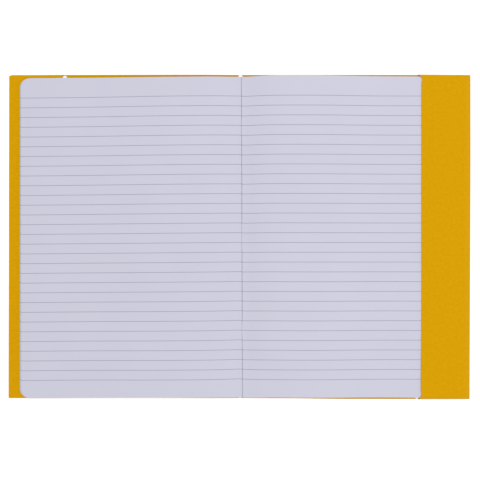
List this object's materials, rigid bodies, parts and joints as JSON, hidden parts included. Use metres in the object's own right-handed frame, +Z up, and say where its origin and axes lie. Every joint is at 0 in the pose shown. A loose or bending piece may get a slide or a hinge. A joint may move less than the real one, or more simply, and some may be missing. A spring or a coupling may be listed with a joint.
{
  "type": "open composition notebook",
  "caption": "Ruled composition notebook lying open in a soft yellow slip-on cover with fold-in pockets; the cover closes about its spine.",
  "frame": {"origin": "on the table under the middle of the open cover", "axes": "+X to the right across the two pages, +Y up the page, +Z up from the table"},
  "size_m": [0.3024, 0.212, 0.0067],
  "materials": {
    "cover": "golden yellow, fine grain, matt",
    "card": "plain uncoated card",
    "paper": "smooth uncoated, pale bluish rule lines",
    "wire": "plain drawn wire"
  },
  "bodies": {
    "right_half": {"right_cover": "cover", "right_card": "card", "right_pages": "paper", "upper_staple": "wire", "lower_staple": "wire"},
    "left_half": {"left_cover": "cover", "left_card": "card", "left_pages": "paper"}
  },
  "joints": [
    {"name": "cover_hinge", "type": "hinge", "parent": "right_half", "child": "left_half", "pos_m": [0.0008, 0, 0.00635], "axis": [0, 1, 0], "range_deg": [0, 180]}
  ]
}
